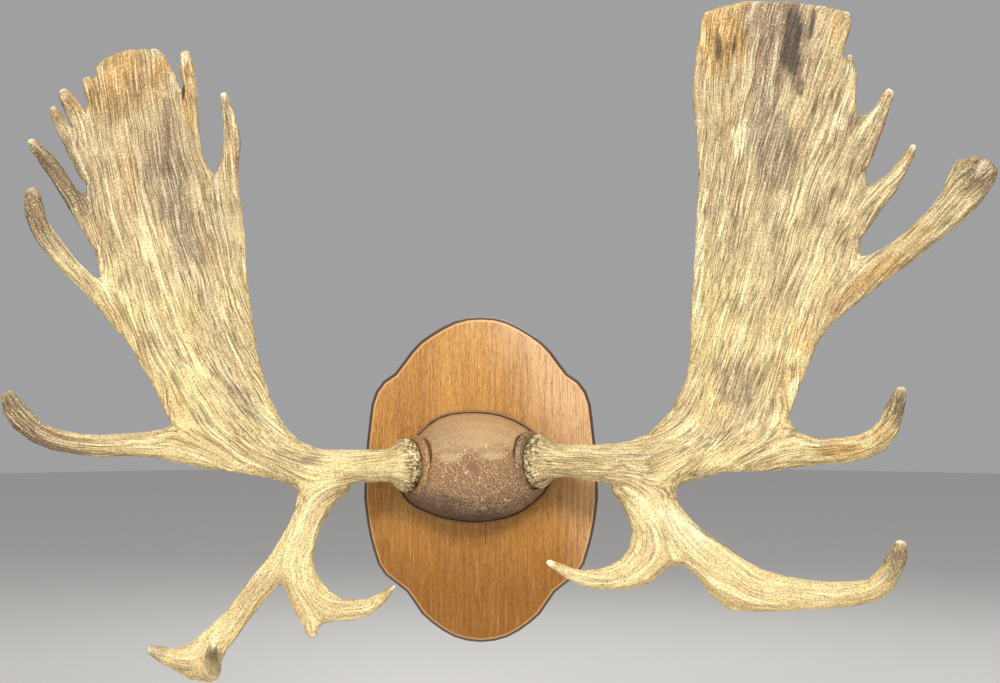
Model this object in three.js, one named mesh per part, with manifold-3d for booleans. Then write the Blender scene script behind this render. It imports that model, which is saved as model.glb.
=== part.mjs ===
// A pair of moose antlers on their leather-covered skull cap, on a shaped oak board for a wall.
// Millimetres, +Z up. The origin is the middle of the board's back, the face that lies against the
// wall, and the board looks along -Y.
import * as THREE from "three";
import { mergeVertices } from "three/addons/utils/BufferGeometryUtils.js";
import Module from "manifold-3d";

const wasm = await Module();
wasm.setup();

// ---- driving dimensions ----
const gap = 0.3; // between pieces that touch
const boardThickness = 22;
const boardEdge = [[0, 0], [0, 12.5], [2.4, 18.5], [4.6, 21.2], [7.5, 22]]; // inset, depth
const boardPoints = 66;

// Right half of the board's outline, top to bottom.
const boardHalf = [
  [0, 227.5], [28, 224.5], [57, 211.5], [77, 198.5], [91, 187.5], [105.5, 169], [116, 154.5],
  [127, 142.5], [141, 134.5], [148.5, 121], [154.2, 104], [157.5, 76], [160.5, 50], [164, -8],
  [164.6, -25], [161.5, -53], [157, -79], [150, -105], [143, -125], [132.5, -138], [119, -148],
  [105, -159], [93, -176], [82, -192], [65, -206], [43, -220.5], [20, -228], [0, -230],
];

const capCentre = [-10, 17];
const capHeight = 84; // above the board's face
const capRings = 6;
const capPoints = 32;
const socketRadius = 38;
const socketLength = 90;
const socketFloor = 3; // how far the socket goes in past the foot of the antler

// Foot of the skull cap on the board, clockwise from the left end.
const capFoot = [
  [-118, 18], [-112, 36], [-101, 50], [-84, 64], [-70, 78], [-53, 87], [-36, 91], [-8, 92.5],
  [20, 90], [39, 84], [56, 76], [70, 66], [84, 53], [94, 36], [97, 13], [94, -8], [84, -22],
  [70, -34], [53, -46], [34, -53], [14, -57], [-8, -59], [-31, -57], [-53, -53], [-73, -46],
  [-92, -37], [-106, -25], [-115, -5],
];
const trim = { radius: 2, sides: 5, points: 36 };
const welt = { ringRadius: 31, rollRadius: 5.4, along: 9, sides: 6, turns: 18 };

// Burr: radius against distance along the beam from its foot in the cap.
const burrProfile = [[0, 15], [29, 15.5], [34, 19], [35.5, 25], [33, 32], [28, 37], [0, 41]];
const burrTurns = 14;

const hanger = { length: 64, height: 26, thickness: 2, up: 150, screwApart: 48, corner: 4 };
const keyhole = { headRadius: 5, slotRadius: 2.3, slotRise: 11, pocketDepth: 10 };
const screw = { headRadius: 3.6, rim: 0.4, coneDepth: 2, shankRadius: 1.8, length: 14, sides: 10 };

// ---- the antlers' drawing ----
// The antlers are drawn on the board's face as they look from a point well in front of it. A point
// of the drawing comes forward along its line of sight until it is its own depth from the wall.
const seenFrom = new THREE.Vector3(26.6, -2522, 192.5);

// A limb is a row of stations: one edge x z, the other edge x z, depth, thickness.
// A blade's stations are: one edge x z, the other edge x z, the depth of each edge, the thickness
// at the first edge, in the middle and at the second edge, and how far the middle is dished back.
const limbStep = 26;
const bladeStep = 34;
const tipReach = 0.5; // a tip's rounding, as a share of its thickness
const tipAngle = (50 * Math.PI) / 180; // where on that rounding the last ring stands
const edgeRounding = 1.3; // width of a blade's rounded edge over half its thickness

const leftAntler = {
  blade: [
    [-84, 45, -84, -6, 58, 58, 44, 46, 44, 0],
    [-108, 45, -108, -6, 70, 70, 44, 46, 44, 0],
    [-134, 43, -134, -4, 82, 82, 44, 46, 44, 0],
    [-169, 42, -167, -6, 94, 94, 44, 46, 44, 0],
    [-200, 41, -195, -11, 103, 103, 43, 44, 43, 0],
    [-228, 42, -228, -14, 108, 108, 38, 40, 38, 0],
    [-251, 52, -259, -11, 112, 112, 33, 36, 33, 0],
    [-267, 66, -295, 1, 114, 116, 28, 30, 28, 0],
    [-281, 85, -344, 13, 116, 120, 26, 24, 26, 3],
    [-293, 108, -393, 34, 118, 124, 24, 18, 25, 7],
    [-302, 134, -433, 76, 120, 129, 22, 14, 23, 11],
    [-312, 174, -461, 134, 123, 134, 20, 12, 21, 15],
    [-319, 216, -491, 183, 127, 139, 18, 11, 20, 18],
    [-326, 265, -522, 234, 131, 145, 16, 10, 19, 20],
    [-329, 309, -532, 284, 135, 150, 15, 10, 17, 22],
    [-333, 356, -545, 337, 139, 155, 14, 9, 15, 22],
    [-339, 398, -553, 391, 143, 160, 13, 9, 14, 21],
    [-380, 433, -553, 430, 147, 163, 12, 9, 13, 19],
    [-390, 453, -561, 461, 151, 167, 12, 9, 12, 18],
    [-395, 496, -566, 489, 155, 170, 12, 9, 12, 15],
    [-407, 524, -553, 514, 158, 172, 11, 9, 11, 13],
    [-420, 542, -547, 533, 161, 173, 11, 9, 11, 11],
    [-426, 560, -543, 552, 163, 173, 10, 9, 10, 9],
    [-435, 575, -539, 576, 165, 173, 9, 9, 9, 6],
    [-442, 591, -527, 589, 166, 172, 8, 8, 8, 3],
    [-452, 600, -504, 597, 167, 170, 7, 7, 7, 1],
  ],
  limbs: {
    sideTine: [
      [-330, 69, -287, 0, 117, 14], [-386, 77, -337, 8, 121, 24], [-421, 80, -393, 15, 123, 27],
      [-449, 70, -435, 24, 127, 26], [-477, 66, -463, 29, 132, 25], [-505, 64, -498, 31, 138, 25],
      [-533, 62, -533, 30, 145, 25], [-561, 64, -567, 34, 152, 24], [-589, 69, -601, 40, 159, 23],
      [-612, 78, -629, 52, 166, 21], [-631, 97, -654, 70, 172, 19], [-645, 112, -668, 92, 177, 16],
      [-655, 122, -671, 111, 180, 11],
    ],
    longPoint: [
      [-491, 251, -505, 202, 145, 6], [-519, 273, -533, 235, 150, 14], [-543, 284, -557, 263, 154, 19],
      [-564, 304, -584, 288, 160, 20], [-581, 326, -603, 309, 167, 20], [-598, 349, -619, 328, 175, 19],
      [-608, 365, -630, 346, 182, 18], [-613, 385, -638, 368, 188, 17], [-617, 398, -641, 386, 192, 14],
      [-623, 405, -637, 402, 194, 9],
    ],
    secondPoint: [
      [-533, 370, -528, 304, 156, 5], [-550, 393, -547, 330, 160, 12], [-566, 407, -581, 385, 164, 16],
      [-587, 438, -603, 421, 170, 15], [-601, 455, -620, 445, 175, 14], [-615, 469, -630, 459, 179, 12],
      [-624, 475, -635, 470, 182, 8],
    ],
    thirdPoint: [
      [-547, 461, -545, 410, 163, 5], [-561, 477, -561, 421, 166, 11], [-574, 489, -581, 463, 169, 13],
      [-581, 501, -592, 486, 173, 12], [-588, 512, -600, 503, 176, 11], [-595, 520, -603, 514, 178, 8],
    ],
    fourthPoint: [
      [-536, 503, -550, 475, 168, 5], [-553, 514, -568, 487, 171, 11], [-564, 528, -581, 511, 174, 12],
      [-573, 539, -589, 529, 177, 11], [-580, 545, -590, 539, 179, 8],
    ],
    rimPoint: [
      [-528, 524, -545, 505, 170, 5], [-535, 538, -552, 528, 173, 10], [-539, 549, -557, 545, 175, 12],
      [-545, 561, -559, 556, 177, 10],
    ],
    rimStub: [
      [-395, 496, -421, 496, 156, 5], [-396, 531, -419, 533, 163, 12], [-398, 556, -418, 553, 166, 12],
      [-402, 580, -424, 575, 169, 12], [-407, 597, -423, 594, 171, 10],
    ],
    innerPoint: [
      [-337, 384, -386, 391, 143, 6], [-340, 421, -375, 421, 149, 13], [-339, 449, -364, 447, 155, 16],
      [-337, 472, -360, 475, 161, 15], [-340, 494, -360, 497, 168, 14], [-348, 521, -363, 519, 174, 11],
      [-356, 540, -365, 535, 178, 7],
    ],
    browStem: [
      [-190, 24, -253, 27, 104, 38], [-183, -15, -259, -18, 112, 40], [-195, -25, -259, -29, 118, 39],
      [-210, -43, -261, -45, 126, 37], [-223, -66, -270, -66, 137, 35], [-230, -87, -280, -84, 147, 33],
      [-234, -104, -291, -101, 156, 31], [-245, -129, -290, -122, 165, 26],
    ],
    browOuter: [
      [-242, -113, -277, -80, 150, 30], [-263, -132, -297, -109, 160, 30], [-283, -149, -314, -129, 168, 29],
      [-298, -167, -328, -146, 177, 28], [-312, -183, -343, -167, 187, 27], [-326, -200, -357, -185, 197, 27],
      [-340, -221, -374, -200, 207, 28], [-354, -239, -393, -217, 216, 30], [-364, -259, -410, -230, 222, 30],
      [-382, -284, -423, -235, 227, 27], [-407, -281, -433, -236, 230, 24], [-427, -270, -444, -234, 234, 21],
      [-445, -260, -454, -232, 239, 17], [-461, -248, -463, -234, 243, 11],
    ],
    browSpike: [
      [-364, -266, -392, -276, 222, 26], [-365, -253, -389, -262, 246, 24], [-368, -242, -385, -248, 268, 18],
      [-371, -232, -378, -234, 288, 9],
    ],
    browInner: [
      [-234, -92, -281, -113, 152, 28], [-234, -116, -280, -146, 162, 30], [-230, -132, -270, -165, 171, 28],
      [-221, -146, -258, -192, 180, 24], [-209, -158, -231, -207, 188, 20], [-196, -167, -209, -200, 195, 18],
      [-176, -169, -183, -198, 202, 17], [-158, -167, -158, -192, 208, 16], [-144, -160, -140, -179, 212, 14],
      [-132, -153, -127, -164, 214, 11], [-122, -148, -119, -152, 215, 7],
    ],
    browNub: [
      [-223, -190, -259, -178, 182, 20], [-226, -206, -252, -200, 187, 16], [-231, -217, -245, -214, 192, 11],
    ],
  },
  // Lines across the main forks: one end x z, the other end x z, depth.
  forks: [
    [-256, 59, -262, -17, 112],
    [-438, 85, -393, 14, 124],
    [-262, -17, -183, -15, 112],
    [-298, -109, -279, -154, 160],
    [-279, -154, -234, -113, 162],
  ],
  // A point on each piece that the forks part: x, z, depth.
  pieces: {
    beam: [-140, 20, 83],
    palm: [-430, 300, 150],
    side_tine: [-560, 50, 150],
    brow_stem: [-240, -65, 137],
    brow_outer: [-340, -190, 200],
    brow_inner: [-170, -183, 205],
  },
};

const rightAntler = {
  blade: [
    [60, 50, 60, -1, 58, 58, 44, 46, 44, 0],
    [87, 51, 87, -1, 71, 71, 44, 46, 44, 0],
    [120, 50, 120, 3, 84, 84, 44, 46, 44, 0],
    [156, 49, 154, -3, 96, 96, 44, 46, 44, 0],
    [188, 50, 183, -7, 103, 103, 43, 44, 43, 0],
    [211, 55, 216, -11, 107, 107, 38, 40, 38, 0],
    [232, 64, 253, -17, 110, 111, 34, 36, 34, 0],
    [252, 81, 304, 0, 112, 115, 30, 30, 30, 0],
    [266, 99, 356, 14, 114, 119, 27, 24, 27, 3],
    [277, 119, 396, 38, 117, 124, 25, 18, 25, 7],
    [286, 139, 421, 69, 120, 128, 22, 14, 23, 11],
    [291, 164, 438, 104, 123, 132, 20, 12, 21, 14],
    [294, 192, 448, 133, 126, 136, 18, 11, 20, 16],
    [294, 225, 473, 195, 130, 141, 16, 10, 19, 19],
    [296, 265, 506, 239, 134, 147, 15, 10, 18, 21],
    [299, 304, 529, 293, 138, 152, 14, 9, 16, 23],
    [301, 343, 531, 335, 142, 156, 14, 9, 14, 23],
    [303, 384, 539, 379, 146, 160, 13, 9, 13, 22],
    [305, 421, 539, 414, 150, 164, 13, 9, 13, 21],
    [304, 461, 538, 461, 154, 168, 12, 9, 12, 20],
    [300, 500, 529, 505, 158, 171, 12, 9, 12, 18],
    [296, 536, 524, 540, 162, 174, 12, 9, 11, 16],
    [298, 573, 527, 567, 165, 176, 12, 9, 11, 13],
    [301, 598, 507, 590, 168, 177, 11, 9, 10, 10],
    [306, 620, 511, 614, 170, 177, 11, 9, 10, 7],
    [309, 640, 517, 636, 171, 176, 11, 9, 10, 4],
    [313, 652, 515, 652, 172, 175, 10, 9, 9, 2],
    [332, 659, 477, 661, 172, 174, 9, 8, 8, 1],
    [360, 666, 440, 666, 172, 173, 7, 7, 7, 0],
  ],
  limbs: {
    sideTine: [
      [342, 69, 307, 7, 116, 14], [388, 74, 370, 10, 122, 24], [433, 84, 416, 11, 126, 26],
      [446, 65, 447, 17, 131, 25], [477, 57, 477, 21, 138, 24], [505, 58, 511, 22, 146, 24],
      [528, 62, 544, 29, 153, 24], [545, 70, 567, 41, 159, 23], [556, 81, 583, 61, 164, 22],
      [564, 97, 590, 84, 168, 20], [571, 111, 595, 108, 172, 17], [580, 125, 595, 124, 174, 11],
    ],
    longPoint: [
      [489, 304, 488, 216, 147, 6], [519, 312, 516, 238, 152, 16], [545, 314, 546, 261, 157, 22],
      [568, 326, 583, 289, 163, 23], [591, 344, 610, 308, 170, 23], [612, 363, 634, 329, 178, 23],
      [630, 382, 659, 347, 186, 23], [643, 400, 685, 368, 193, 24], [651, 420, 704, 392, 199, 25],
      [658, 437, 718, 414, 203, 25], [668, 447, 724, 431, 206, 20], [680, 449, 718, 439, 207, 12],
    ],
    secondPoint: [
      [510, 398, 514, 335, 157, 5], [533, 410, 535, 340, 160, 12], [553, 415, 558, 374, 164, 16],
      [570, 427, 580, 401, 169, 15], [582, 442, 592, 424, 174, 14], [594, 458, 603, 444, 178, 11],
      [602, 468, 610, 462, 181, 7],
    ],
    thirdPoint: [
      [510, 491, 528, 426, 168, 5], [531, 509, 543, 438, 172, 11], [543, 512, 553, 465, 176, 14],
      [553, 522, 563, 493, 181, 13], [561, 536, 571, 517, 185, 11], [568, 545, 578, 538, 188, 7],
    ],
    rimKnob: [
      [498, 548, 524, 540, 172, 5], [506, 569, 526, 563, 173, 9], [510, 583, 523, 580, 173, 9],
      [513, 592, 520, 591, 173, 6],
    ],
    browStem: [
      [206, 27, 290, 27, 104, 38], [182, -17, 274, -18, 112, 40], [197, -36, 276, -34, 120, 38],
      [207, -56, 286, -49, 130, 36], [212, -74, 300, -63, 140, 34], [214, -92, 307, -81, 150, 32],
      [230, -113, 295, -104, 158, 26],
    ],
    browOuter: [
      [278, -42, 244, -102, 135, 24], [302, -63, 279, -118, 148, 32], [322, -78, 302, -137, 158, 32],
      [344, -94, 322, -163, 170, 32], [367, -111, 347, -182, 181, 31], [393, -125, 384, -186, 191, 30],
      [426, -135, 423, -186, 202, 28], [458, -141, 458, -183, 212, 26], [491, -143, 491, -181, 222, 25],
      [521, -143, 526, -177, 231, 24], [539, -141, 556, -169, 239, 24], [551, -132, 577, -154, 246, 24],
      [562, -117, 588, -133, 252, 22], [571, -104, 596, -112, 257, 18], [580, -89, 596, -94, 260, 11],
    ],
    browInner: [
      [230, -46, 288, -85, 138, 24], [212, -74, 283, -116, 148, 30], [207, -95, 258, -127, 160, 28],
      [196, -111, 237, -147, 170, 24], [181, -120, 209, -155, 178, 21], [162, -126, 178, -155, 185, 19],
      [144, -127, 150, -153, 191, 17], [127, -124, 127, -144, 195, 15], [111, -118, 109, -132, 198, 11],
      [97, -113, 93, -120, 199, 7],
    ],
  },
  forks: [
    [237, 67, 273, -20, 111],
    [436, 85, 419, 13, 127],
    [273, -20, 178, -13, 112],
    [284, -120, 307, -67, 152],
    [284, -120, 211, -78, 152],
  ],
  pieces: {
    beam: [140, 23, 90],
    palm: [410, 350, 150],
    side_tine: [500, 42, 144],
    brow_stem: [245, -50, 130],
    brow_outer: [440, -160, 207],
    brow_inner: [150, -140, 190],
  },
};

// ---- materials ----
function material(color, roughness, metalness = 0) {
  return new THREE.MeshStandardMaterial({ color, roughness, metalness });
}
const bone = material("#cbb48a", 0.62);
const oak = material("#b3793a", 0.42);
const capLeather = material("#8a6a48", 0.55);
const weltLeather = material("#6f4229", 0.5);
const thread = material("#3a2418", 0.8);
const steel = material("#a2a4a3", 0.35, 1);

// ---- shape helpers ----
const group = new THREE.Group();

function place(name, geometry, finish) {
  geometry.computeVertexNormals();
  const mesh = new THREE.Mesh(geometry, finish);
  mesh.name = name;
  group.add(mesh);
}

// Closed geometry into a manifold solid, and back.
function solidOf(geometry) {
  geometry.deleteAttribute("normal");
  geometry.deleteAttribute("uv");
  const merged = mergeVertices(geometry, 1e-4);
  return new wasm.Manifold(new wasm.Mesh({
    numProp: 3,
    vertProperties: merged.attributes.position.array,
    triVerts: new Uint32Array(merged.index.array),
  }));
}

function geometryOf(solid) {
  const mesh = solid.getMesh();
  return new THREE.BufferGeometry()
    .setAttribute("position", new THREE.BufferAttribute(mesh.vertProperties, 3))
    .setIndex(new THREE.BufferAttribute(mesh.triVerts, 1));
}

function signedVolume(points, faces) {
  const across = new THREE.Vector3();
  return faces.reduce((sum, [a, b, c]) =>
    sum + points[a].dot(across.crossVectors(points[b], points[c])), 0);
}

// A skin over rings of points. A closed row of rings makes a loop, and an open one has its ends
// closed by fans.
function skin(rings, loop = false) {
  const count = rings[0].length;
  const points = rings.flat();
  const faces = [];
  const bands = loop ? rings.length : rings.length - 1;
  for (let i = 0; i < bands; i++) {
    const here = i * count;
    const there = ((i + 1) % rings.length) * count;
    for (let k = 0; k < count; k++) {
      const next = (k + 1) % count;
      faces.push([here + k, here + next, there + next], [here + k, there + next, there + k]);
    }
  }
  if (!loop) {
    for (const [start, turned] of [[0, true], [(rings.length - 1) * count, false]]) {
      const middle = new THREE.Vector3();
      for (let k = 0; k < count; k++) middle.addScaledVector(points[start + k], 1 / count);
      points.push(middle);
      for (let k = 0; k < count; k++) {
        const a = start + k;
        const b = start + ((k + 1) % count);
        faces.push(turned ? [points.length - 1, b, a] : [points.length - 1, a, b]);
      }
    }
  }
  if (signedVolume(points, faces) < 0) faces.forEach((face) => face.reverse());
  return new THREE.BufferGeometry().setFromPoints(points).setIndex(faces.flat());
}

// A smooth closed outline through flat [x, z] points, as evenly spaced [x, z] pairs.
function outlineThrough(points, count) {
  const corners = points.map(([x, z]) => new THREE.Vector3(x, 0, z));
  const curve = new THREE.CatmullRomCurve3(corners, true, "centripetal");
  return curve.getSpacedPoints(count).slice(0, count).map((p) => [p.x, p.z]);
}

// The outline moved inwards, or outwards if the distance is below zero.
function inset(outline, distance) {
  const count = outline.length;
  return outline.map(([x, z], i) => {
    const [x0, z0] = outline[(i + count - 1) % count];
    const [x1, z1] = outline[(i + 1) % count];
    const length = Math.hypot(x1 - x0, z1 - z0);
    return [x + (distance * (z0 - z1)) / -length, z + (distance * (x1 - x0)) / -length];
  });
}

function ringAt(outline, depth) {
  return outline.map(([x, z]) => new THREE.Vector3(x, -depth, z));
}

// ---- board ----
const mirrored = boardHalf.slice(1, -1).reverse().map(([x, z]) => [-x, z]);
const boardOutline = outlineThrough([...boardHalf, ...mirrored], boardPoints);

function screwSolid(side, clearance) {
  const reach = screw.headRadius + clearance;
  const shank = screw.shankRadius + clearance;
  const top = 0.5 - clearance;
  const profile = [
    [0, top], [reach, top], [reach, 0.5 + screw.rim], [shank, 0.5 + screw.rim + screw.coneDepth],
    [shank, screw.length], [0, screw.length + shank],
  ].map(([r, depth]) => new THREE.Vector2(r, -depth)).reverse();
  const turned = new THREE.LatheGeometry(profile, screw.sides);
  turned.translate((side * hanger.screwApart) / 2, 0, hanger.up);
  return solidOf(turned);
}

function boxSolid(width, depth, height, x, fromDepth, z) {
  const box = new THREE.BoxGeometry(width, depth, height);
  box.translate(x, -fromDepth - depth / 2, z);
  return solidOf(box);
}

function makeBoard() {
  const rings = boardEdge.map(([inwards, depth]) => ringAt(inset(boardOutline, inwards), depth));
  const tray = boxSolid(hanger.length + 2 * gap, hanger.thickness + 2 * gap + 1,
    hanger.height + 2 * gap, 0, -1, hanger.up);
  const pocket = boxSolid(hanger.length / 2, keyhole.pocketDepth, hanger.height - 4, 0, 0, hanger.up);
  const board = solidOf(skin(rings))
    .subtract(tray)
    .subtract(pocket)
    .subtract(screwSolid(-1, gap))
    .subtract(screwSolid(1, gap));
  place("board", geometryOf(board), oak);
}

// A steel plate let into the back, with a keyhole that drops over a screw in the wall.
function makeHanger() {
  const { length, height, thickness, up, corner } = hanger;
  const plate = new THREE.Shape();
  const [x, z] = [length / 2, height / 2];
  plate.moveTo(-x + corner, -z).lineTo(x - corner, -z);
  plate.absarc(x - corner, -z + corner, corner, -Math.PI / 2, 0);
  plate.absarc(x - corner, z - corner, corner, 0, Math.PI / 2);
  plate.absarc(-x + corner, z - corner, corner, Math.PI / 2, Math.PI);
  plate.absarc(-x + corner, -z + corner, corner, Math.PI, 1.5 * Math.PI);
  const { headRadius, slotRadius, slotRise } = keyhole;
  const mouth = Math.asin(slotRadius / headRadius);
  const low = -slotRise / 2;
  const hole = new THREE.Path();
  hole.absarc(0, low, headRadius, Math.PI / 2 + mouth, Math.PI / 2 - mouth + 2 * Math.PI);
  hole.absarc(0, low + slotRise, slotRadius, 0, Math.PI);
  hole.closePath();
  plate.holes.push(hole);
  const sheet = new THREE.ExtrudeGeometry(plate,
    { depth: thickness, bevelEnabled: false, curveSegments: 3 });
  sheet.rotateX(Math.PI / 2);
  sheet.translate(0, -gap, up);
  const drilled = solidOf(sheet).subtract(screwSolid(-1, gap)).subtract(screwSolid(1, gap));
  place("hanger_plate", geometryOf(drilled), steel);
  place("hanger_screw_left", geometryOf(screwSolid(-1, 0)), steel);
  place("hanger_screw_right", geometryOf(screwSolid(1, 0)), steel);
}

// ---- antlers ----
function inSpace(x, z, depth) {
  const nearer = (-seenFrom.y - depth) / (-seenFrom.y - boardThickness);
  return new THREE.Vector3(
    seenFrom.x + (x - seenFrom.x) * nearer, -depth, seenFrom.z + (z - seenFrom.z) * nearer);
}

function between(values, t) {
  const at = Math.min(t * (values.length - 1), values.length - 1.000001);
  const i = Math.floor(at);
  return values[i] + (values[i + 1] - values[i]) * (at - i);
}

// One cross-section between two edge points, with `flat` extra points along each face.
function section(first, second, forward, thick, dish, flat) {
  const across = second.clone().sub(first);
  const width = across.length();
  across.normalize();
  const front = forward.clone().cross(across).normalize();
  if (front.y > 0) front.negate();
  const middle = first.clone().add(second).multiplyScalar(0.5);
  const bulge = 2 * thick[1] - (thick[0] + thick[2]) / 2;
  const thickness = (s) => (1 - s) ** 2 * thick[0] + 2 * s * (1 - s) * bulge + s ** 2 * thick[2];
  const point = (along, lift) => {
    const s = along / width + 0.5;
    const offset = (lift * thickness(s)) / 2 - dish * 4 * s * (1 - s);
    return middle.clone().addScaledVector(across, along).addScaledVector(front, offset);
  };
  const roundFirst = Math.min((thick[0] / 2) * edgeRounding, 0.48 * width);
  const roundSecond = Math.min((thick[2] / 2) * edgeRounding, 0.48 * width);
  const angles = flat ? [72, 36, 0, -36, -72] : [67.5, 22.5, -22.5, -67.5];
  const turn = (degrees) => [Math.cos((degrees * Math.PI) / 180), Math.sin((degrees * Math.PI) / 180)];
  const ring = [];
  for (const angle of angles) {
    const [c, s] = turn(angle);
    ring.push(point(-width / 2 + roundFirst * (1 - c), s));
  }
  const inwards = 1 - turn(angles[0])[0];
  const start = -width / 2 + roundFirst * inwards;
  const stop = width / 2 - roundSecond * inwards;
  const face = (k) => start + ((stop - start) * k) / (flat + 1);
  for (let k = 1; k <= flat; k++) ring.push(point(face(k), -1));
  for (const angle of [...angles].reverse()) {
    const [c, s] = turn(angle);
    ring.push(point(width / 2 - roundSecond * (1 - c), s));
  }
  for (let k = flat; k >= 1; k--) ring.push(point(face(k), 1));
  return { ring, middle };
}

// A limb or a blade through its stations, with a rounded tip.
function loft(stations, step, flat) {
  const asBlade = ([ax, az, bx, bz, depth, t]) => [ax, az, bx, bz, depth, depth, t, t, t, 0];
  const rows = stations.map((s) => (s.length > 6 ? s : asBlade(s)));
  const curve = (points) => new THREE.CatmullRomCurve3(points, false, "centripetal");
  const first = curve(rows.map((s) => inSpace(s[0], s[1], s[4])));
  const second = curve(rows.map((s) => inSpace(s[2], s[3], s[5])));
  const centre = (t) => first.getPoint(t).add(second.getPoint(t)).multiplyScalar(0.5);
  const spans = rows.length - 1;
  const times = [];
  for (let i = 0; i < spans; i++) {
    const a = i / spans;
    const b = (i + 1) / spans;
    const count = Math.max(1, Math.round(centre(a).distanceTo(centre(b)) / step));
    for (let k = 0; k < count; k++) times.push(a + ((b - a) * k) / count);
  }
  times.push(1);
  let heading;
  const cuts = times.map((t) => {
    const after = centre(Math.min(1, t + 0.01));
    heading = after.sub(centre(Math.max(0, t - 0.01))).normalize();
    const thick = [6, 7, 8].map((column) => between(rows.map((s) => s[column]), t));
    const dish = between(rows.map((s) => s[9]), t);
    return section(first.getPoint(t), second.getPoint(t), heading, thick, dish, flat);
  });
  const rings = cuts.map((cut) => cut.ring);
  const last = cuts[cuts.length - 1];
  const reach = tipReach * rows[spans][7];
  rings.push(last.ring.map((p) => p.clone().sub(last.middle)
    .multiplyScalar(Math.cos(tipAngle)).add(last.middle)
    .addScaledVector(heading, reach * Math.sin(tipAngle))));
  return skin(rings);
}

// The frame at the foot of an antler: its first point, and the way the beam leaves the cap.
function footOf(antler) {
  const middle = ([ax, az, bx, bz, depth]) => inSpace((ax + bx) / 2, (az + bz) / 2, depth);
  const from = middle(antler.blade[0]);
  return { from, way: middle(antler.blade[1]).sub(from).normalize() };
}

// A shape turned about the Y axis, moved to stand along the foot of an antler.
function alongFoot(antler, geometry) {
  const { from, way } = footOf(antler);
  const turn = new THREE.Quaternion().setFromUnitVectors(new THREE.Vector3(0, 1, 0), way);
  return geometry.applyQuaternion(turn).translate(from.x, from.y, from.z);
}

function burrOf(antler) {
  const profile = burrProfile.map(([radius, along]) => new THREE.Vector2(radius, along));
  return solidOf(alongFoot(antler, new THREE.LatheGeometry(profile, burrTurns)));
}

// A thin cut straight through an antler, along a line across a fork.
function slit([ax, az, bx, bz, depth]) {
  const a = inSpace(ax, az, depth);
  const b = inSpace(bx, bz, depth);
  const overrun = 4;
  const plate = new THREE.BoxGeometry(a.distanceTo(b) + 2 * overrun, 800, gap);
  plate.rotateY(-Math.atan2(b.z - a.z, b.x - a.x));
  plate.translate((a.x + b.x) / 2, 0, (a.z + b.z) / 2);
  return solidOf(plate);
}

function nearest(solids, target) {
  const distance = (solid) => {
    const { vertProperties } = solid.getMesh();
    let least = Infinity;
    const vertex = new THREE.Vector3();
    for (let i = 0; i < vertProperties.length; i += 3) {
      least = Math.min(least, vertex.fromArray(vertProperties, i).distanceTo(target));
    }
    return least;
  };
  const distances = solids.map(distance);
  return solids[distances.indexOf(Math.min(...distances))];
}

function makeAntler(side, antler) {
  let whole = solidOf(loft(antler.blade, bladeStep, 2)).add(burrOf(antler));
  for (const stations of Object.values(antler.limbs)) {
    whole = whole.add(solidOf(loft(stations, limbStep, 0)));
  }
  for (const fork of antler.forks) whole = whole.subtract(slit(fork));
  const parted = whole.decompose();
  for (const [piece, [x, z, depth]] of Object.entries(antler.pieces)) {
    place(`${side}_${piece}`, geometryOf(nearest(parted, inSpace(x, z, depth))), bone);
  }
}

// ---- skull cap, welts and trim ----
function socket(antler) {
  const hole = new THREE.CylinderGeometry(socketRadius, socketRadius, socketLength, 18);
  hole.translate(0, socketLength / 2 - socketFloor, 0);
  return solidOf(alongFoot(antler, hole));
}

function makeCap() {
  const foot = outlineThrough(capFoot, capPoints);
  const rings = [];
  for (let i = 0; i < capRings; i++) {
    const rise = (i / capRings) * (Math.PI / 2);
    const narrow = Math.cos(rise) ** 0.9;
    const depth = boardThickness + gap + capHeight * Math.sin(rise) ** 0.95;
    rings.push(foot.map(([x, z]) => new THREE.Vector3(
      capCentre[0] + (x - capCentre[0]) * narrow, -depth, capCentre[1] + (z - capCentre[1]) * narrow)));
  }
  const dome = solidOf(skin(rings)).subtract(socket(leftAntler)).subtract(socket(rightAntler));
  const crown = new THREE.Vector3(capCentre[0], -boardThickness - capHeight, capCentre[1]);
  place("skull_cap", geometryOf(nearest(dome.decompose(), crown)), capLeather);
}

function makeTrim() {
  const outer = inset(outlineThrough(capFoot, trim.points), -trim.radius - gap);
  const rings = outer.map((point, i) => {
    const [x, z] = point;
    const [x0, z0] = outer[(i + outer.length - 1) % outer.length];
    const [x1, z1] = outer[(i + 1) % outer.length];
    const length = Math.hypot(x1 - x0, z1 - z0);
    return Array.from({ length: trim.sides }, (_, k) => {
      const angle = (k * 2 * Math.PI) / trim.sides;
      const out = trim.radius * Math.cos(angle);
      return new THREE.Vector3(
        x + (out * (z1 - z0)) / length,
        -boardThickness - gap - trim.radius - trim.radius * Math.sin(angle),
        z - (out * (x1 - x0)) / length);
    });
  });
  place("edge_trim", skin(rings, true), thread);
}

function makeWelt(side, antler) {
  const { ringRadius, rollRadius, along, sides, turns } = welt;
  const profile = Array.from({ length: sides + 1 }, (_, k) => {
    const angle = ((k % sides) * 2 * Math.PI) / sides;
    return new THREE.Vector2(ringRadius + rollRadius * Math.cos(angle), along + rollRadius * Math.sin(angle));
  });
  place(`welt_${side}`, alongFoot(antler, new THREE.LatheGeometry(profile, turns)), weltLeather);
}

makeBoard();
makeHanger();
makeCap();
makeTrim();
makeWelt("left", leftAntler);
makeWelt("right", rightAntler);
makeAntler("left", leftAntler);
makeAntler("right", rightAntler);

export default group;
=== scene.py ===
import math

import bmesh
import bpy
import numpy as np
from mathutils import Matrix, Vector


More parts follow.
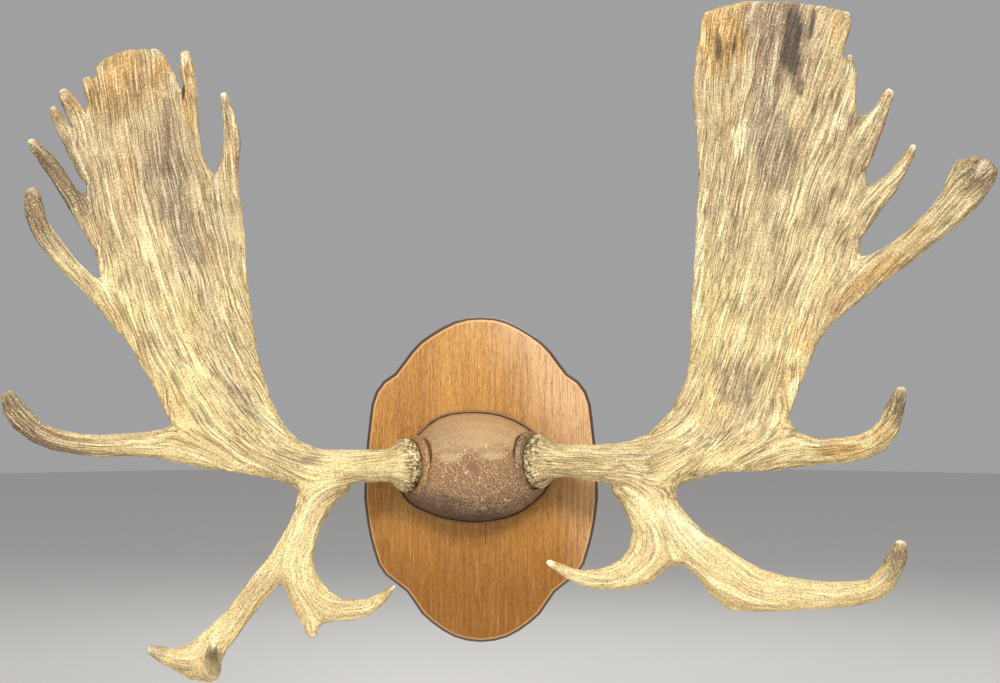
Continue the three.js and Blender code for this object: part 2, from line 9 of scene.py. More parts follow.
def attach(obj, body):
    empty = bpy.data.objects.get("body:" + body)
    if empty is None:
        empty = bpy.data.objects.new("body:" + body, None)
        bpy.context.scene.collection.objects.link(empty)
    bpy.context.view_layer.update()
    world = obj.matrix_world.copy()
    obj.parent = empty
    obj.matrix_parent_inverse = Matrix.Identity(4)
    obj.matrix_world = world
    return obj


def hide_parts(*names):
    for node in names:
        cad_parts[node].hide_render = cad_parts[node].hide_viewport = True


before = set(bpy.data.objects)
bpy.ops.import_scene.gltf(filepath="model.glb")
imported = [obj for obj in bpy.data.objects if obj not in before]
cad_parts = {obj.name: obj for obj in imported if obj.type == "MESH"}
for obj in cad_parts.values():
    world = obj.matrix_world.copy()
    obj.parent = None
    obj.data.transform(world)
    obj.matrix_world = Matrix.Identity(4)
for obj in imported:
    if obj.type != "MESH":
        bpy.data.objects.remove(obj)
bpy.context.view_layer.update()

# the eye that the antlers' lines are drawn from, mm
eye = {"x": 26.6, "y": -2522.0, "z": 192.5, "boardFront": 22.0}


def inSpace(x, z, depth):
    # a point drawn on the board's front plane, moved along its line of sight to a depth from the wall
    nearer = (-eye["y"] - depth) / (-eye["y"] - eye["boardFront"])
    return np.array([eye["x"] + (x - eye["x"]) * nearer, -depth, eye["z"] + (z - eye["z"]) * nearer]) / 1000


def drawn(places):
    # where points in space lie on the drawing, mm
    depth = -places[:, 1] * 1000
    nearer = (-eye["y"] - depth) / (-eye["y"] - eye["boardFront"])
    x = eye["x"] + (places[:, 0] * 1000 - eye["x"]) / nearer
    z = eye["z"] + (places[:, 2] * 1000 - eye["z"]) / nearer
    return x, z


# shader helpers
def addNode(tree, kind, inputs=None, **settings):
    node = tree.nodes.new(kind)
    for name, value in settings.items():
        setattr(node, name, value)
    for name, value in (inputs or {}).items():
        if isinstance(value, bpy.types.NodeSocket):
            tree.links.new(value, node.inputs[name])
        else:
            node.inputs[name].default_value = value
    return node


def calc(tree, operation, first, second=None, third=None):
    inputs = {0: first}
    if second is not None:
        inputs[1] = second
    if third is not None:
        inputs[2] = third
    return addNode(tree, "ShaderNodeMath", inputs, operation=operation).outputs[0]


def vector(tree, operation, first, second=None, scale=None):
    inputs = {0: first}
    if second is not None:
        inputs[1] = second
    if scale is not None:
        inputs["Scale"] = scale
    return addNode(tree, "ShaderNodeVectorMath", inputs, operation=operation).outputs[0]


def spread(tree, value, low, high, outLow=0.0, outHigh=1.0):
    # eases from one number to another while the value goes from low to high
    return addNode(
        tree, "ShaderNodeMapRange",
        {"Value": value, "From Min": low, "From Max": high, "To Min": outLow, "To Max": outHigh},
        interpolation_type="SMOOTHSTEP").outputs[0]


def tint(tree, factor, first, second):
    node = addNode(tree, "ShaderNodeMix", data_type="RGBA")
    for index, value in ((0, factor), (6, first), (7, second)):
        if isinstance(value, bpy.types.NodeSocket):
            tree.links.new(value, node.inputs[index])
        else:
            node.inputs[index].default_value = value if index == 0 else (*value[:3], 1.0)
    return node.outputs[2]


def noise(tree, place, scale, detail=2.0, roughness=0.5, distortion=0.0):
    return addNode(
        tree, "ShaderNodeTexNoise",
        {"Vector": place, "Scale": scale, "Detail": detail, "Roughness": roughness, "Distortion": distortion}
    ).outputs["Fac"]


def stretched(tree, place, upright):
    # below 1 draws a pattern out upwards
    return addNode(tree, "ShaderNodeMapping", {"Vector": place, "Scale": (1.0, 1.0, upright)}).outputs[0]


def axes(tree, place):
    return addNode(tree, "ShaderNodeSeparateXYZ", {0: place}).outputs


def newMaterial(name, roughness):
    material = bpy.data.materials.new(name)
    material.use_nodes = True
    tree = material.node_tree
    shader = tree.nodes["Principled BSDF"]
    shader.inputs["Roughness"].default_value = roughness
    place = addNode(tree, "ShaderNodeTexCoord").outputs["Object"]
    return material, tree, shader, place


def bump(tree, shader, height, distance, strength):
    node = addNode(tree, "ShaderNodeBump", {"Height": height, "Distance": distance, "Strength": strength})
    tree.links.new(node.outputs[0], shader.inputs["Normal"])


def feed(tree, value, shader, name):
    tree.links.new(value, shader.inputs[name])


def srgb(red, green, blue):
    # screen values 0 to 255 as the shader's linear colour
    return tuple(((v / 255 + 0.055) / 1.055) ** 2.4 if v > 10 else v / 3295 for v in (red, green, blue))


# noise drawn out along one way: fast across it, slow along it
fibreLook = {"sideways": 0.6, "detail": 1.0, "roughness": 0.6}  # sideways: how far x counts as along


def makeFibreGroup(look):
    group = bpy.data.node_groups.new("fibres", "ShaderNodeTree")
    sockets = {"Across": "Float", "Through": "Float", "Place": "Vector", "Fine": "Float", "Slow": "Float"}
    for name, kind in sockets.items():
        group.interface.new_socket(name, in_out="INPUT", socket_type="NodeSocket" + kind)
    group.interface.new_socket("Fibre", in_out="OUTPUT", socket_type="NodeSocketFloat")
    ends = addNode(group, "NodeGroupInput").outputs
    x, _, z = axes(group, ends["Place"])
    along = calc(group, "MULTIPLY", calc(group, "MULTIPLY_ADD", x, look["sideways"], z), ends["Slow"])
    spot = addNode(group, "ShaderNodeCombineXYZ", {
        "X": calc(group, "MULTIPLY", ends["Across"], ends["Fine"]),
        "Y": calc(group, "MULTIPLY", ends["Through"], ends["Fine"]), "Z": along}).outputs[0]
    fibre = noise(group, spot, 1.0, look["detail"], look["roughness"])
    out = addNode(group, "NodeGroupOutput")
    group.links.new(fibre, out.inputs["Fibre"])
    return group


fibreGroup = makeFibreGroup(fibreLook)


def fibres(tree, across, through, place, fine, slow):
    # addNode sets the group first, so the group's own sockets are there to fill
    return addNode(tree, "ShaderNodeGroup",
                   {"Across": across, "Through": through, "Place": place, "Fine": fine, "Slow": slow},
                   node_tree=fibreGroup).outputs["Fibre"]


# mesh helpers
def meshFrom(shape, name):
    mesh = bpy.data.meshes.new(name)
    shape.to_mesh(mesh)
    shape.free()
    return mesh


def showPiece(mesh, name, material, *nodes, slot, smooth=True):
    piece = bpy.data.objects.new(name, mesh)
    bpy.context.scene.collection.objects.link(piece)
    if smooth:
        mesh.shade_smooth()
    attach(piece, "root")
    if nodes:
        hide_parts(*nodes)
    mesh.materials.append(material)


weldGap = 1e-6  # points closer than this are one, m


def fused(nodes, swell, voxel):
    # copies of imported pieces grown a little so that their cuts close, as one skin of even squares
    shape = bmesh.new()
    for name in nodes:
        part = bmesh.new()
        part.from_mesh(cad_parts[name].data)
        bmesh.ops.remove_doubles(part, verts=part.verts, dist=weldGap)
        part.normal_update()
        for corner in part.verts:
            corner.co += corner.normal * swell
        loose = meshFrom(part, name + "_copy")
        shape.from_mesh(loose)
        bpy.data.meshes.remove(loose)
    rough = meshFrom(shape, "rough_copy")
    carrier = bpy.data.objects.new("rough_copy", rough)
    bpy.context.scene.collection.objects.link(carrier)
    remesh = carrier.modifiers.new("even_skin", "REMESH")
    remesh.mode = "VOXEL"
    remesh.voxel_size = voxel
    skin = bpy.data.meshes.new_from_object(carrier.evaluated_get(bpy.context.evaluated_depsgraph_get()))
    bpy.data.objects.remove(carrier)
    bpy.data.meshes.remove(rough)
    return skin


def readAll(items, name, width=1, kind=np.int32):
    # one property of every point, edge or face
    values = np.empty(len(items) * width, kind)
    items.foreach_get(name, values)
    return values.reshape(-1, width) if width > 1 else values


def readSkin(mesh):
    # places, and for each point a table of the points round it
    count = len(mesh.vertices)
    edges = readAll(mesh.edges, "vertices", 2)
    loops = readAll(mesh.loops, "vertex_index")
    starts, totals = (readAll(mesh.polygons, name) for name in ("loop_start", "loop_total"))
    square = starts[totals == 4]
    across = [np.stack([loops[square + corner], loops[square + corner + 2]], 1) for corner in (0, 1)]
    return {"place": readAll(mesh.vertices, "co", 3, np.float32), "near": tableOf(edges, count),
            "ring": tableOf(np.vstack([edges, *across]), count), "mesh": mesh}


def tableOf(pairs, count):
    both = np.vstack([pairs, pairs[:, ::-1]])
    both = both[np.argsort(both[:, 0], kind="stable")]
    total = np.bincount(both[:, 0], minlength=count)
    start = np.concatenate([[0], np.cumsum(total)[:-1]])
    table = np.repeat(np.arange(count)[:, None], total.max(), 1)
    table[both[:, 0], np.arange(len(both)) - start[both[:, 0]]] = both[:, 1]
    return {"table": table, "total": np.maximum(total, 1)}


def roundAbout(near, values):
    # the mean of each point's neighbours; the table's spare places hold the point itself
    table, total = near["table"], near["total"]
    own = table.shape[1] - total
    summed = values[table].sum(1)
    if values.ndim == 1:
        return (summed - own * values) / total
    return (summed - own[:, None] * values) / total[:, None]


def smoothed(near, values, rounds, share=0.5):
    for _ in range(rounds):
        values = values + (roundAbout(near, values) - values) * share
    return values


def fair(near, place, rounds, inward=0.5, outward=-0.52):
    # rounds off creases; the step outwards keeps thin points from shrinking
    for _ in range(rounds):
        for share in (inward, outward):
            place = place + (roundAbout(near, place) - place) * share
    return place


def fillCreases(skin, rounds, closed, share=0.7, fresh=6):
    # webs the crotches and creases: every move goes outwards, along normals read again every few rounds
    mesh, near, place = skin["mesh"], skin["near"], skin["place"]
    for count in range(rounds):
        if count % fresh == 0:
            writePlaces(mesh, place)
            normal = normalsOf(mesh)
        push = ((roundAbout(near, place) - place) * normal).sum(1)
        place = place + normal * (np.clip(push, 0, None) * share * closed)[:, None]
    return place


def convexity(skin, place, rounds=14):
    # how far each point stands out of its rounded surroundings
    bulk = smoothed(skin["near"], place, rounds)
    writePlaces(skin["mesh"], place)
    return ((place - bulk) * normalsOf(skin["mesh"])).sum(1)


def levelFlats(skin, place, rounds, flat=0.0003, rim=0.0008):
    # evens out the broad faces and leaves rims and thin points
    share = 0.5 * (1 - softStep(np.abs(convexity(skin, place)), flat, rim))[:, None]
    for _ in range(rounds):
        place = place + (roundAbout(skin["near"], place) - place) * share
    return place


def writePlaces(mesh, place):
    mesh.vertices.foreach_set("co", np.asarray(place, np.float32).ravel())
    mesh.update()


def normalsOf(mesh):
    return readAll(mesh.vertex_normals, "vector", 3, np.float32)


def unit(vectors):
    return vectors / np.maximum(np.linalg.norm(vectors, axis=-1, keepdims=True), 1e-9)


def addField(mesh, name, values):
    field = mesh.attributes.new(name, "FLOAT_VECTOR", "POINT")
    field.data.foreach_set("vector", np.asarray(values, np.float32).ravel())


def softStep(value, low, high):
    t = np.clip((value - low) / (high - low), 0, 1)
    return t * t * (3 - 2 * t)


def fadeOut(value, full, gone):
    # 1 up to the first number and 0 past the second
    return softStep(-value, -gone, -full)


def even(values):
    # mean 0 and spread 1
    return (values - values.mean(0)) / values.std(0)


# growth lines and streaks
def growthSamples(lines, spacing):
    # rounds each line's corners, then takes places and directions at even steps along it
    places, ways = [], []
    for line in lines:
        points = np.array([inSpace(*point) for point in line])
        for _ in range(2):
            cut = [points[:-1] * (1 - share) + points[1:] * share for share in (0.25, 0.75)]
            points = np.vstack([points[:1], np.stack(cut, 1).reshape(-1, 3), points[-1:]])
        length = np.concatenate([[0], np.cumsum(np.linalg.norm(np.diff(points, axis=0), axis=1))])
        steps = np.arange(0, length[-1], spacing)
        spots = np.stack([np.interp(steps, length, points[:, axis]) for axis in range(3)], 1)
        places.append(spots)
        ways.append(unit(np.gradient(spots, axis=0)))
    return np.vstack(places).astype(np.float32), np.vstack(ways).astype(np.float32)


def growthWay(skin, normal, lines, look, batch=8192):
    # each point's direction of growth: a mean of the lines round it, the nearest counting most
    spots, ways = growthSamples(lines, look["lineStep"])
    place, found = skin["place"], []
    for start in range(0, len(place), batch):
        here = place[start:start + batch]
        apart = (here ** 2).sum(1)[:, None] + (spots ** 2).sum(1)[None] - 2 * here @ spots.T
        weight = 1 / (np.maximum(apart, 0) + look["lineReach"] ** 2) ** 2
        found.append(weight @ ways / weight.sum(1)[:, None])
    way = np.vstack(found)
    for _ in range(look["wayRounds"]):
        way = smoothed(skin["near"], way, 3)
        way = unit(way - normal * (way * normal).sum(1)[:, None])
    return way


def streaks(skin, normal, way, seeds, steps, stride):
    # smears random values along the growth, walking from point to point over the skin
    place, ring = skin["place"], skin["ring"]["table"]
    total = seeds.copy()
    for sign in (1, -1):
        at = np.arange(len(place))
        spot = place.copy()
        for step in range(steps):
            spot = spot + sign * stride * way[at]
            around = ring[at]
            apart = ((place[around] - spot[:, None]) ** 2).sum(2)
            at = around[np.arange(len(at)), apart.argmin(1)]
            off = ((spot - place[at]) * normal[at]).sum(1)
            spot = spot - normal[at] * off[:, None]
            total += seeds[at] * math.cos((step + 1) / (steps + 1) * math.pi / 2)
    return total


def settle(table, goal, value, rounds):
    # conjugate gradients: each point's gaps to its neighbours come to add up to the goal
    def gaps(field):
        return table.shape[1] * field - field[table].sum(1)

    rest = goal - gaps(value)
    search, size = rest.copy(), rest @ rest
    for _ in range(rounds):
        change = gaps(search)
        step = size / (search @ change)
        value = value + step * search
        rest = rest - step * change
        size, before = rest @ rest, size
        search = rest + search * (size / before)
    return value


def acrossGrowth(skin, side, look):
    # a measure across the growth lines along one side direction, in metres
    table, place = skin["near"]["table"], skin["place"].astype(float)
    gap = place[table] - place[:, None]
    sideGap = (gap * side[:, None]).sum(2)
    value, strength = np.zeros(len(place)), np.ones(len(place))
    for rounds in look["settleRounds"]:
        goal = side * strength[:, None]
        value = settle(table, -((goal[table] + goal[:, None]) * gap).sum((1, 2)) * 0.5, value, rounds)
        slope = ((value[table] - value[:, None]) * sideGap).sum(1) / np.maximum((sideGap ** 2).sum(1), 1e-12)
        strength = smoothed(skin["near"], np.clip(slope, *look["slopeLimits"]), look["slopeRounds"])
    return value


# antlers
antlerLook = {
    "parts": ["beam", "palm", "side_tine", "brow_stem", "brow_outer", "brow_inner"],
    "overlap": 0.0007, "fairRounds": 26, "webRounds": 42, "levelRounds": 80,
    "lineStep": 0.006, "lineReach": 0.007, "wayRounds": 6, "waveRounds": 80, "cloudRounds": 120, "wander": 0.07,
    "walkSteps": 40, "walkStride": 0.0017, "settleRounds": (300, 120, 120, 120),
    "slopeLimits": (0.35, 1.5), "slopeRounds": 6, "rim": (0.0004, 0.0022), "grooveWidth": 0.22,
    "ridgeHeight": 0.00050, "grooveDepth": 0.00030, "midHeight": 0.00038, "fineHeight": 0.00018,
    "pearlHeight": 0.0032, "pearlSize": 0.0032, "pearlCount": 380, "burrReach": (0.008, 0.040),
    "burrEase": (0.005, 0.012), "pearlSpread": (0.7, 1.25), "beamRadius": 0.018,
    "tipDark": (0.35, 1.25), "tipEnd": (2, 11), "wobble": (0.10, 0.10, 0.16),
}
# lines: x, z, depth from the wall, mm
# tips: x, z, depth, how far the dark reaches, how dark, how white the very end is
# stains (grey, orange, dark, pale): x, z, half width, half length, turn in degrees, strength
antlers = {
    "left": {
        "seed": 11, "voxel": 0.00222,
        "foot": (-82.4, -58.0, 22.0), "footWay": (-0.886, -0.462, 0.03),
        "open": [(-423, 548, 22)],
        "lines": {
            "innerEdge": [
                (-84, 38, 62), (-169, 36, 91), (-239, 43, 105), (-274, 64, 114), (-298, 104, 118),
                (-315, 160, 122), (-325, 223, 127), (-333, 293, 133), (-339, 370, 141), (-347, 419, 149),
                (-350, 475, 161), (-361, 536, 178)],
            "stub": [
                (-84, 32, 62), (-197, 31, 100), (-259, 49, 112), (-301, 94, 118), (-340, 174, 123),
                (-367, 265, 130), (-385, 363, 141), (-398, 447, 152), (-407, 517, 160), (-414, 594, 171)],
            "middle": [
                (-84, 27, 62), (-197, 24, 100), (-267, 41, 113), (-316, 83, 118), (-365, 153, 124),
                (-407, 244, 132), (-435, 328, 141), (-455, 405, 150), (-469, 489, 160), (-477, 587, 168)],
            "outerTop": [
                (-84, 21, 62), (-204, 18, 101), (-273, 34, 113), (-330, 77, 118), (-393, 150, 124),
                (-442, 237, 132), (-475, 314, 140), (-497, 398, 152), (-512, 475, 161), (-525, 566, 170)],
            "rimPoint": [
                (-393, 139, 124), (-454, 220, 131), (-490, 304, 141), (-512, 391, 152), (-528, 461, 162),
                (-540, 510, 171), (-552, 556, 177)],
            "fourthPoint": [
                (-407, 139, 124), (-466, 209, 131), (-503, 293, 142), (-528, 384, 153), (-542, 449, 163),
                (-561, 505, 172), (-585, 542, 179)],
            "thirdPoint": [
                (-484, 237, 137), (-519, 335, 148), (-539, 405, 157), (-556, 449, 165), (-581, 491, 172),
                (-599, 517, 178)],
            "secondPoint": [
                (-463, 188, 131), (-503, 265, 141), (-528, 335, 151), (-553, 384, 160), (-592, 435, 171),
                (-630, 473, 182)],
            "longPoint": [
                (-358, 76, 118), (-396, 108, 122), (-449, 169, 129), (-491, 225, 142), (-533, 274, 152),
                (-575, 304, 162), (-608, 342, 174), (-627, 384, 187), (-630, 405, 194)],
            "sideTine": [
                (-204, 8, 101), (-274, 17, 113), (-330, 29, 120), (-393, 46, 124), (-463, 48, 132),
                (-533, 45, 145), (-589, 53, 158), (-631, 74, 169), (-657, 99, 177), (-665, 118, 180)],
            "browOuter": [
                (-113, 7, 72), (-181, 3, 95), (-217, -20, 112), (-239, -57, 133), (-256, -97, 152),
                (-279, -125, 163), (-309, -158, 180), (-342, -200, 202), (-377, -242, 222), (-407, -262, 230),
                (-442, -248, 239), (-462, -239, 243)],
            "browSpike": [(-371, -256, 222), (-378, -253, 246), (-378, -239, 270), (-375, -232, 288)],
            "browInner": [
                (-237, -60, 133), (-251, -102, 153), (-253, -139, 166), (-234, -169, 182), (-204, -183, 195),
                (-158, -179, 208), (-133, -160, 214), (-119, -150, 215)],
            "browNub": [(-245, -169, 182), (-241, -197, 187), (-238, -217, 192)],
        },
        "tips": [
            (-630, 405, 194, 95, 1.0, 0.9), (-665, 118, 180, 105, 1.0, 0.9), (-630, 473, 182, 34, 0.5, 0.5),
            (-599, 517, 178, 30, 0.7, 0.5), (-585, 542, 179, 34, 0.5, 0.5), (-552, 556, 177, 30, 0.3, 0.5),
            (-361, 536, 178, 30, 0.35, 0.6), (-414, 594, 171, 14, 0.3, 0.8), (-462, -239, 243, 24, 0.7, 0.9),
            (-375, -232, 288, 50, 0.8, 0.5), (-119, -150, 215, 30, 0.55, 0.25),
            (-238, -217, 192, 12, 0.4, 0.6)],
        "grey": [
            (-440, 470, 24, 70, 4, 0.6), (-432, 402, 34, 78, 16, 0.85), (-420, 336, 26, 50, 20, 0.65),
            (-396, 262, 18, 62, 28, 0.5), (-376, 380, 22, 50, 0, 0.4), (-330, 108, 50, 22, -40, 0.5),
            (-240, 27, 22, 9, 10, 0.7), (-474, 540, 24, 40, 0, 0.35), (-420, -262, 22, 12, 0, 0.5),
            # the two grey ovals near x -610, z 40 darken the side tine's lower part: dirt, partly painted shade
            (-612, 36, 50, 14, -10, 1.2), (-262, 30, 40, 16, 0, 0.4), (-270, -150, 16, 24, 0, 0.35),
            (-604, 40, 80, 30, -14, 1.0)],
        "orange": [
            (-490, 556, 60, 48, 10, 0.65), (-452, 575, 34, 20, 0, 0.7), (-412, 535, 12, 40, 0, 0.7),
            (-498, 430, 22, 90, 8, 0.35), (-352, 460, 9, 60, 0, 0.35), (-430, 104, 26, 44, 40, 0.55),
            (-500, 214, 14, 70, 36, 0.4), (-400, 60, 60, 14, 0, 0.35), (-600, 50, 60, 34, -20, 0.75),
            (-330, -215, 60, 14, 40, 0.35), (-535, 330, 12, 60, 20, 0.4), (-556, 540, 14, 28, -25, 1.0),
            (-588, 526, 14, 30, -30, 0.8), (-412, 574, 13, 20, 0, 1.0)],
        "dark": [
            (-428, 352, 16, 34, 16, 0.25), (-330, 92, 34, 9, -32, 0.3), (-85, -18, 14, 12, 0, 1.0),
            (-368, -255, 9, 20, 0, 0.5), (-417, 541, 2.5, 14, -4, 0.9)],
        "pale": [
            (-520, 300, 20, 80, 26, 0.4), (-345, 330, 12, 110, 4, 0.45), (-300, 70, 40, 16, -40, 0.3),
            (-414, 585, 8, 14, 0, 0.8), (-372, 200, 26, 60, 24, 0.4), (-440, 190, 22, 60, 34, 0.4)],
    },
    "right": {
        "seed": 23, "voxel": 0.00242,
        "foot": (59.5, -58.0, 26.9), "footWay": (0.895, -0.442, 0.048),
        "open": [],
        "lines": {
            "innerEdge": [
                (69, 34, 62), (167, 31, 92), (223, 41, 108), (259, 69, 114), (287, 108, 118), (298, 167, 122),
                (304, 251, 132), (308, 349, 142), (311, 461, 154), (307, 545, 163), (323, 643, 172)],
            "innerMiddle": [
                (69, 27, 62), (181, 25, 97), (239, 35, 110), (280, 62, 115), (307, 93, 119), (318, 209, 129),
                (337, 335, 141), (356, 461, 154), (370, 587, 167), (377, 664, 172)],
            "middle": [
                (69, 22, 62), (183, 21, 98), (244, 27, 110), (285, 46, 115), (311, 69, 118), (326, 185, 128),
                (353, 286, 137), (378, 384, 147), (401, 489, 159), (424, 587, 169), (440, 659, 173)],
            "outerMiddle": [
                (244, 22, 110), (290, 38, 115), (323, 62, 118), (350, 170, 127), (382, 279, 139),
                (411, 384, 150), (442, 488, 164), (480, 590, 172), (510, 652, 175)],
            "topCorner": [
                (300, 32, 115), (332, 57, 118), (366, 160, 127), (400, 258, 138), (430, 350, 150),
                (460, 442, 162), (492, 519, 170), (521, 568, 173)],
            "firstPoint": [
                (350, 84, 120), (385, 167, 129), (426, 265, 141), (463, 356, 153), (501, 430, 164),
                (533, 475, 172), (573, 540, 187)],
            "secondPoint": [
                (362, 84, 121), (412, 190, 134), (451, 288, 146), (491, 354, 156), (531, 404, 163),
                (573, 433, 173), (606, 465, 181)],
            "crotch": [(376, 86, 122), (433, 180, 134), (475, 258, 146), (512, 312, 154), (533, 335, 158)],
            "longPoint": [
                (307, 38, 115), (393, 85, 123), (451, 158, 134), (494, 239, 147), (542, 290, 157),
                (594, 328, 172), (645, 377, 188), (682, 413, 201), (706, 440, 206)],
            "sideTine": [
                (239, 13, 110), (307, 24, 117), (370, 38, 122), (433, 46, 128), (503, 41, 145),
                (552, 55, 160), (575, 88, 170), (588, 123, 174)],
            "browOuter": [
                (111, 15, 78), (181, 6, 98), (225, -18, 112), (248, -50, 130), (270, -80, 145),
                (301, -102, 155), (343, -130, 170), (391, -155, 190), (458, -162, 212), (517, -160, 230),
                (559, -146, 243), (581, -116, 252), (589, -90, 260)],
            "browInner": [
                (224, -18, 112), (239, -57, 133), (238, -99, 150), (220, -130, 168), (181, -141, 182),
                (146, -139, 191), (111, -125, 198), (94, -116, 199)],
        },
        "tips": [
            (706, 440, 206, 60, 0.8, 0.9), (588, 123, 174, 60, 0.8, 0.6), (606, 465, 181, 28, 0.5, 0.6),
            (573, 540, 187, 28, 0.3, 0.6), (589, -90, 260, 60, 0.9, 0.9), (94, -116, 199, 30, 0.5, 0.2)],
        "grey": [
            (412, 626, 46, 62, 0, 1.5), (402, 500, 30, 84, 8, 0.75), (455, 600, 22, 50, 0, 0.5),
            (352, 134, 56, 50, 0, 0.62), (404, 390, 16, 90, 8, 0.5), (692, 430, 12, 16, 0, 0.7),
            (560, 35, 34, 16, 20, 0.5), (480, 380, 18, 70, 20, 0.35), (390, 60, 90, 18, 0, 0.35),
            (230, 30, 50, 14, 0, 0.4)],
        "orange": [
            (340, 626, 46, 56, 0, 1.3), (497, 632, 20, 34, 0, 0.45), (520, 62, 36, 16, 8, 0.4),
            (442, 645, 14, 12, 0, 0.9), (610, 330, 40, 26, 45, 0.45), (562, 293, 84, 17, 34, 0.65),
            (455, 200, 26, 26, 0, 0.5), (520, 40, 50, 10, 0, 0.8), (560, 62, 20, 20, 0, 0.6),
            (300, 300, 6, 240, 0, 0.35), (440, 130, 30, 50, 36, 0.4), (500, 220, 20, 50, 40, 0.4),
            (312, 120, 10, 60, 0, 0.4), (400, -135, 80, 14, 20, 0.3), (345, 500, 18, 50, 0, 0.3)],
        "dark": [
            (436, 612, 13, 42, -6, 0.75), (464, 640, 5, 30, -8, 0.7), (445, 548, 6, 14, 0, 0.5),
            (334, 604, 6, 24, 0, 0.75), (354, 606, 6, 24, 0, 0.75), (408, 630, 4, 26, -4, 0.5),
            (384, 190, 26, 26, 0, 0.15), (330, -85, 60, 6, -32, 0.5), (390, 445, 10, 26, 0, 0.3),
            (300, 110, 6, 22, 0, 0.35)],
        "pale": [
            (363, 487, 12, 36, 0, 0.8), (503, 500, 10, 14, 0, 0.7), (356, 180, 10, 22, -24, 0.7),
            (302, 330, 9, 200, 0, 0.8), (300, 60, 70, 22, -30, 0.4), (290, -60, 60, 40, -40, 0.6),
            (516, 574, 7, 16, 0, 0.8), (441, 116, 8, 36, 0, 0.8), (455, 160, 8, 20, 0, 0.6),
            (380, 250, 26, 50, -24, 0.4), (335, 380, 14, 90, -4, 0.4)],
    },
}


def blobs(x, z, wobble, patches, full=0.35, gone=1.35):
    # oval stains, each fading out towards its edge
    total = np.zeros(len(x), np.float32)
    for centreX, centreZ, halfWide, halfLong, turn, strength in patches:
        angle = math.radians(turn)
        across = (x - centreX) * math.cos(angle) + (z - centreZ) * math.sin(angle)
        along = (z - centreZ) * math.cos(angle) - (x - centreX) * math.sin(angle)
        off = np.sqrt((across / halfWide) ** 2 + (along / halfLong) ** 2) + wobble
        total = np.maximum(total, strength * fadeOut(off, full, gone))
    return total


def growPearls(skin, foot, footWay, draw, look):
    # the rough crown of small knobs round the antler's foot
    place = skin["place"]
    along = (place - foot) @ footWay
    radial = np.linalg.norm(place - foot - along[:, None] * footWay, axis=1)
    (low, high), (easeIn, easeOut) = look["burrReach"], look["burrEase"]
    mask = softStep(along, low, low + easeIn) * (1 - softStep(along, high - easeOut, high))
    mask = mask * (radial > look["beamRadius"])
    inside = np.flatnonzero(mask > 0.3)
    seeds = place[draw.choice(inside, look["pearlCount"], replace=False)]
    size = look["pearlSize"] * draw.uniform(*look["pearlSpread"], len(seeds))
    apart = np.full(len(place), 9.0, np.float32)  # farther than any knob reaches
    near = np.flatnonzero(mask > 0.01)
    apart[near] = (np.linalg.norm(place[near, None] - seeds[None], axis=2) / size[None]).min(1)
    height = np.sqrt(np.clip(1 - apart ** 2, 0, 1))
    return mask, height * mask


